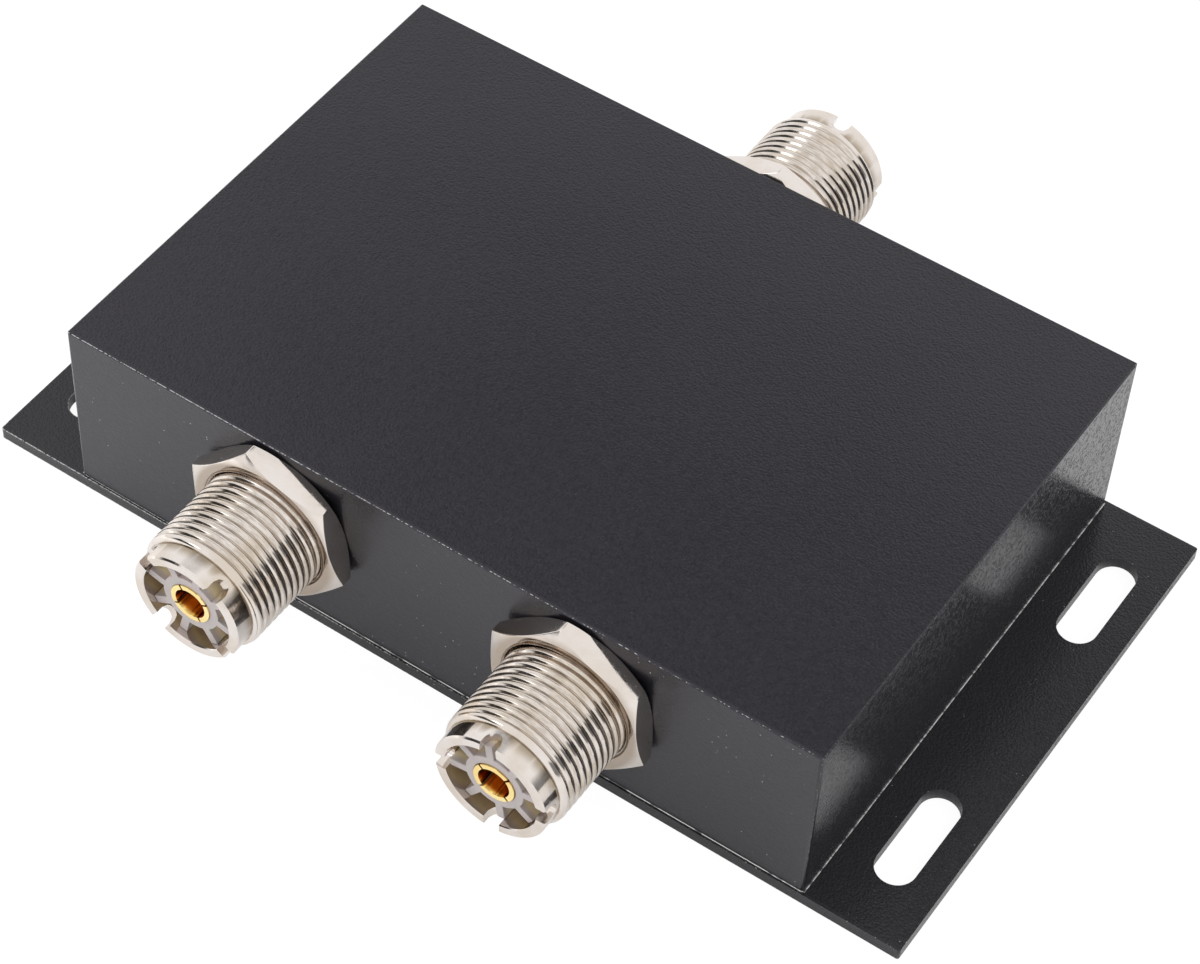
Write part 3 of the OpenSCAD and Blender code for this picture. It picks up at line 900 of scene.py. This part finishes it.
def build_floor():
    """White floor that keeps the part's shadow, faint to the camera and fuller in reflections."""
    corners = [(x*FLOOR_HALF, y*FLOOR_HALF, -FLOOR_GAP) for x, y in ((-1, -1), (1, -1), (1, 1), (-1, 1))]
    mesh = bpy.data.meshes.new("floor")
    mesh.from_pydata(corners, [], [(0, 1, 2, 3)])
    floor = bpy.data.objects.new("floor", mesh)
    bpy.context.scene.collection.objects.link(floor)
    material = bpy.data.materials.new("floor_white")
    material.use_nodes = True
    tree = material.node_tree
    tree.nodes.clear()

    def grey(shade):
        return add_node(tree, "ShaderNodeBsdfDiffuse", {"Color": (shade, shade, shade, 1)}).outputs[0]

    rays = add_node(tree, "ShaderNodeLightPath").outputs
    mirrored = math_node(tree, "MAXIMUM", rays["Is Glossy Ray"], rays["Is Transmission Ray"])
    looks = (
        (mirrored, MIRRORED_SHADE, MIRRORED_GLOW),
        (rays["Is Camera Ray"], CAMERA_SHADE, CAMERA_GLOW),
    )
    surface = grey(FLOOR_SHADE)
    for seen_by, shade, glow in looks:
        white = add_node(tree, "ShaderNodeEmission", {"Strength": glow}).outputs[0]
        lit = add_node(tree, "ShaderNodeAddShader", {0: grey(shade), 1: white}).outputs[0]
        surface = add_node(tree, "ShaderNodeMixShader", {0: seen_by, 1: surface, 2: lit}).outputs[0]
    add_node(tree, "ShaderNodeOutputMaterial", {"Surface": surface})
    mesh.materials.append(material)


def build_world():
    """White for the camera, else dark low at the front left and far right, and dim high up behind."""
    world = bpy.data.worlds.new("studio")
    world.use_nodes = True
    bpy.context.scene.world = world
    tree = world.node_tree
    tree.nodes.clear()
    direction = add_node(tree, "ShaderNodeTexCoord").outputs["Generated"]
    x, y, z = add_node(tree, "ShaderNodeSeparateXYZ", {0: direction}).outputs
    high = spread(tree, z, (0.66, 0.76), (0.0, AROUND_LEVEL - HIGH_LEVEL))
    left = spread(tree, x, (0.08, -0.12))
    behind = product(tree, spread(tree, y, (0.44, 0.51)), spread(tree, y, (0.635, 0.565)))
    above = product(tree, high, left, behind)
    low = spread(tree, z, (0.48, 0.4), (0.0, AROUND_LEVEL - LOW_LEVEL))
    front = product(tree, spread(tree, y, (-0.3, -0.42)), spread(tree, z, (0.05, 0.15)))
    front_left = product(tree, front, spread(tree, x, (-0.45, -0.53)))
    far_right = spread(tree, x, (0.78, 0.88), (0.0, 0.8))
    below = product(tree, low, total(tree, front_left, far_right))
    level = math_node(tree, "SUBTRACT", AROUND_LEVEL, total(tree, above, below))

    def white(strength):
        inputs = {"Color": (1, 1, 1, 1), "Strength": strength}
        return add_node(tree, "ShaderNodeBackground", inputs).outputs[0]

    camera_ray = add_node(tree, "ShaderNodeLightPath").outputs["Is Camera Ray"]
    mixed = add_node(tree, "ShaderNodeMixShader", {0: camera_ray, 1: white(level), 2: white(1.0)})
    add_node(tree, "ShaderNodeOutputWorld", {"Surface": mixed.outputs[0]})


def add_softbox(name, place, size, power, mirrored=True):
    """Square area lamp that points at the part, and may be left out of reflections."""
    data = bpy.data.lights.new(name, "AREA")
    data.size = size
    data.energy = power
    lamp = bpy.data.objects.new(name, data)
    lamp.location = place
    lamp.visible_glossy = mirrored
    lamp.rotation_euler = (-Vector(place)).to_track_quat("-Z", "Y").to_euler()
    bpy.context.scene.collection.objects.link(lamp)


def build_camera():
    data = bpy.data.cameras.new("camera")
    data.lens = CAMERA_LENS
    data.clip_start = CAMERA_NEAR
    camera = bpy.data.objects.new("camera", data)
    turn = (Matrix.Rotation(math.radians(CAMERA_AZIMUTH), 4, "Z")
            @ Matrix.Rotation(math.radians(90 - CAMERA_ELEVATION), 4, "X")
            @ Matrix.Rotation(math.radians(CAMERA_ROLL), 4, "Z"))
    camera.matrix_world = Matrix.Translation(Vector(CAMERA_PLACE_MM)*MM) @ turn
    bpy.context.scene.collection.objects.link(camera)
    bpy.context.scene.camera = camera


bpy.context.scene.view_settings.view_transform = "Standard"
build_camera()
build_sockets()
build_case()
build_floor()
build_world()
add_softbox("edge_light", place=(-0.6, -0.75, 0.7), size=0.3, power=0.65)
add_softbox("key_light", place=(-0.35, -0.2, 0.2), size=0.12, power=0.7, mirrored=False)
